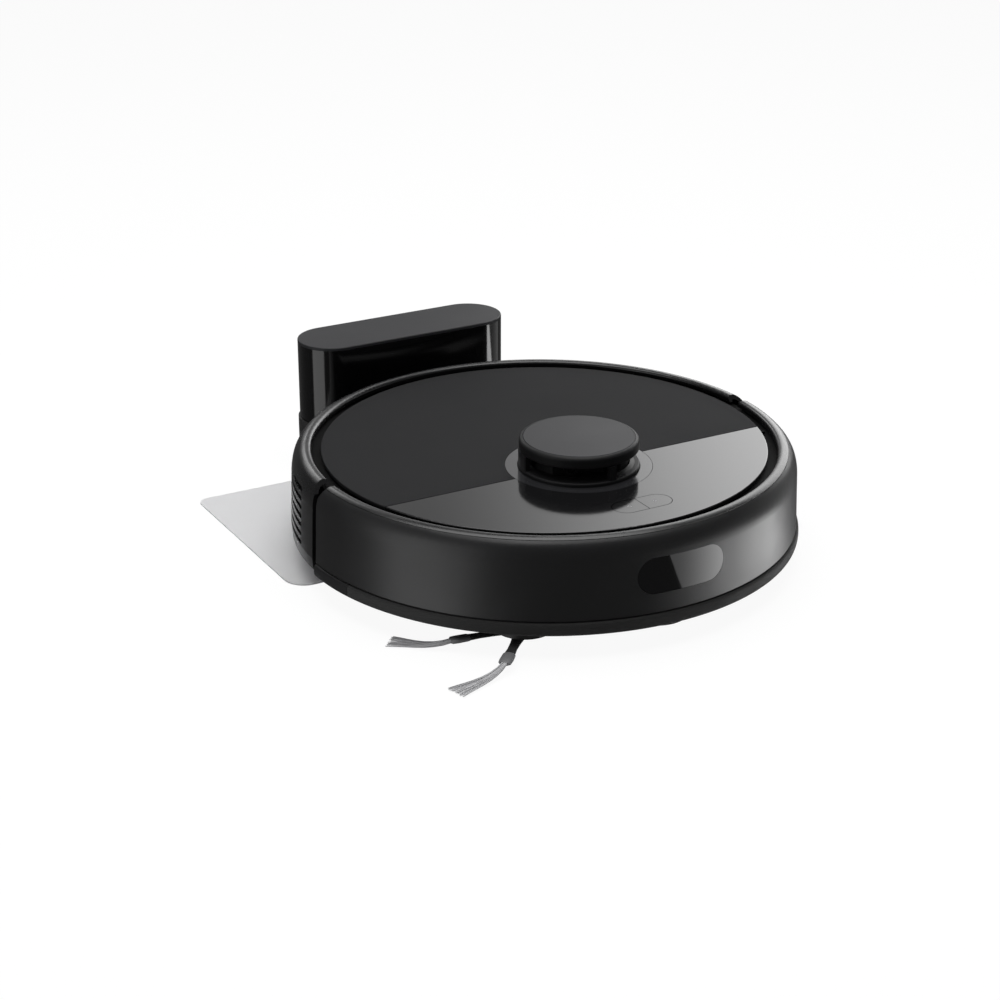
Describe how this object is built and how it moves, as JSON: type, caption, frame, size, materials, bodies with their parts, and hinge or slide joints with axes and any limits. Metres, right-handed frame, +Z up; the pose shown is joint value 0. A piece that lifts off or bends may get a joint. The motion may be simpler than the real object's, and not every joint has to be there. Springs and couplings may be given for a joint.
{
  "type": "robot vacuum",
  "caption": "Round robot vacuum with a laser tower, front bumper, hinged lid and side brush, parked on its charging dock with a thin floor mat.",
  "frame": {"origin": "on the floor, under the vertical axis of the round body", "axes": "+Z up; -Y the way the robot drives; +Y towards the charging dock; the robot's own right side, with the side brush, at -X"},
  "size_m": [0.3628, 0.417, 0.0969],
  "materials": {
    "satin_black": "satin moulded ABS",
    "gloss_black": "high gloss moulded ABS",
    "gloss_deck": "high gloss clear-coated panel",
    "charcoal": "fine-grain matt",
    "charcoal_cap": "satin",
    "halo": "satin translucent trim",
    "belly_black": "spark-eroded moulded ABS",
    "inner_black": "plain moulded",
    "soft_black": "moulded rubber",
    "window": "polished infrared-clear acrylic",
    "bristle_grey": "nylon bristle",
    "smoke": "smoked clear polycarbonate",
    "paper_white": "pleated filter paper",
    "mat": "frosted translucent sheet",
    "steel": "plated",
    "motor_steel": "zinc plated can",
    "board": "solder mask",
    "cell_wrap": "shrink wrap",
    "nylon_grey": "moulded nylon",
    "latch": "moulded"
  },
  "bodies": {
    "robot": {"chassis": "belly_black", "battery_cover": "belly_black", "case_screws": "steel", "rear_shell": "gloss_black", "charge_plates": "steel", "bumper_springs": "steel", "top_frame": "belly_black", "front_deck": "gloss_deck", "trim_ring": "halo", "tower_base": "gloss_black", "tower_cap": "gloss_black", "tower_disc": "charcoal_cap", "laser_base": "inner_black", "laser_motor": "motor_steel", "laser_belt": "soft_black", "main_board": "board", "battery": "cell_wrap", "dustbin": "smoke", "bin_lid": "inner_black", "bin_filter": "paper_white", "fan_housing": "inner_black", "fan_motor": "motor_steel", "drive_springs": "steel", "side_brush_motor": "inner_black", "brush_housing": "inner_black", "brush_drive": "inner_black", "brush_guard": "belly_black"},
    "bumper": {"bumper": "satin_black", "bumper_rim": "gloss_black", "bumper_strip": "soft_black", "sensor_window": "window"},
    "lid": {"lid": "charcoal", "lid_pins": "steel"},
    "laser_head": {"laser_head": "inner_black"},
    "laser_pulley": {"laser_pulley": "nylon_grey"},
    "impeller": {"impeller": "nylon_grey"},
    "left_arm": {"left_drive_arm": "inner_black"},
    "right_arm": {"right_drive_arm": "inner_black"},
    "left_wheel": {"left_wheel": "nylon_grey", "left_tyre": "soft_black"},
    "right_wheel": {"right_wheel": "nylon_grey", "right_tyre": "soft_black"},
    "caster": {"caster_fork": "belly_black", "caster_axle": "steel"},
    "caster_wheel": {"caster_wheel": "soft_black"},
    "side_brush": {"side_brush": "soft_black", "side_brush_bristles": "bristle_grey"},
    "main_brush": {"main_brush": "nylon_grey", "brush_fins": "soft_black"},
    "guard_latches": {"guard_latches": "latch"},
    "power_button": {"power_button": "gloss_deck"},
    "home_button": {"home_button": "gloss_deck"},
    "dock": {"dock_shell": "gloss_black", "dock_top": "charcoal_cap", "dock_base": "belly_black", "dock_plate": "belly_black", "dock_feet": "soft_black", "dock_mat": "mat", "mains_inlet": "inner_black"},
    "charge_pins": {"charge_pins": "steel"}
  },
  "joints": [
    {"name": "dock_travel", "type": "slide", "parent": "robot", "child": "dock", "axis": [0, 1, 0], "range_m": [0, 0.3]},
    {"name": "charge_pin_slide", "type": "slide", "parent": "dock", "child": "charge_pins", "axis": [0, 1, 0], "range_m": [0, 0.004], "stiffness_N_per_m": 300, "springref_m": -0.001},
    {"name": "bumper_press", "type": "slide", "parent": "robot", "child": "bumper", "axis": [0, 1, 0], "range_m": [0, 0.0035], "stiffness_N_per_m": 900, "springref_m": -0.003, "deforming": ["bumper_springs"]},
    {"name": "lid_hinge", "type": "hinge", "parent": "robot", "child": "lid", "pos_m": [0, -0.0446, 0.0749], "axis": [1, 0, 0], "range_deg": [0, 85]},
    {"name": "laser_spin", "type": "hinge", "parent": "robot", "child": "laser_head", "pos_m": [0, -0.0455, 0.07], "axis": [0, 0, 1], "continuous": true},
    {"name": "laser_pulley_spin", "type": "hinge", "parent": "robot", "child": "laser_pulley", "pos_m": [-0.052, -0.08, 0.066], "axis": [0, 0, 1], "continuous": true},
    {"name": "impeller_spin", "type": "hinge", "parent": "robot", "child": "impeller", "pos_m": [-0.096, 0.066, 0.04], "axis": [0, 0, 1], "continuous": true},
    {"name": "left_arm_swing", "type": "hinge", "parent": "robot", "child": "left_arm", "pos_m": [0.088, -0.05, 0.044], "axis": [-1, 0, 0], "range_deg": [0, 11], "stiffness_Nm_per_rad": 0.3, "springref_deg": 40.11, "deforming": ["drive_springs"]},
    {"name": "right_arm_swing", "type": "hinge", "parent": "robot", "child": "right_arm", "pos_m": [-0.088, -0.05, 0.044], "axis": [-1, 0, 0], "range_deg": [0, 11], "stiffness_Nm_per_rad": 0.3, "springref_deg": 40.11, "deforming": ["drive_springs"]},
    {"name": "left_wheel_spin", "type": "hinge", "parent": "left_arm", "child": "left_wheel", "pos_m": [0.1125, -0.008, 0.034], "axis": [1, 0, 0], "continuous": true},
    {"name": "right_wheel_spin", "type": "hinge", "parent": "right_arm", "child": "right_wheel", "pos_m": [-0.1125, -0.008, 0.034], "axis": [1, 0, 0], "continuous": true},
    {"name": "caster_swivel", "type": "hinge", "parent": "robot", "child": "caster", "pos_m": [0, -0.141, 0.02], "axis": [0, 0, 1], "continuous": true},
    {"name": "caster_roll", "type": "hinge", "parent": "caster", "child": "caster_wheel", "pos_m": [0, -0.137, 0.013], "axis": [1, 0, 0], "continuous": true},
    {"name": "side_brush_spin", "type": "hinge", "parent": "robot", "child": "side_brush", "pos_m": [-0.084, -0.1195, 0.01], "axis": [0, 0, 1], "continuous": true, "deforming": ["side_brush_bristles"]},
    {"name": "main_brush_spin", "type": "hinge", "parent": "robot", "child": "main_brush", "pos_m": [0, -0.048, 0.021], "axis": [1, 0, 0], "continuous": true},
    {"name": "guard_latch_slide", "type": "slide", "parent": "robot", "child": "guard_latches", "axis": [0, -1, 0], "range_m": [0, 0.003]},
    {"name": "power_button_press", "type": "slide", "parent": "robot", "child": "power_button", "axis": [0, 0, -1], "range_m": [0, 0.0006], "stiffness_N_per_m": 900, "springref_m": -0.0006},
    {"name": "home_button_press", "type": "slide", "parent": "robot", "child": "home_button", "axis": [0, 0, -1], "range_m": [0, 0.0006], "stiffness_N_per_m": 900, "springref_m": -0.0006}
  ],
  "couplings": [
    {"joint": "laser_pulley_spin", "follows": "laser_spin", "ratio": 7.5714}
  ]
}
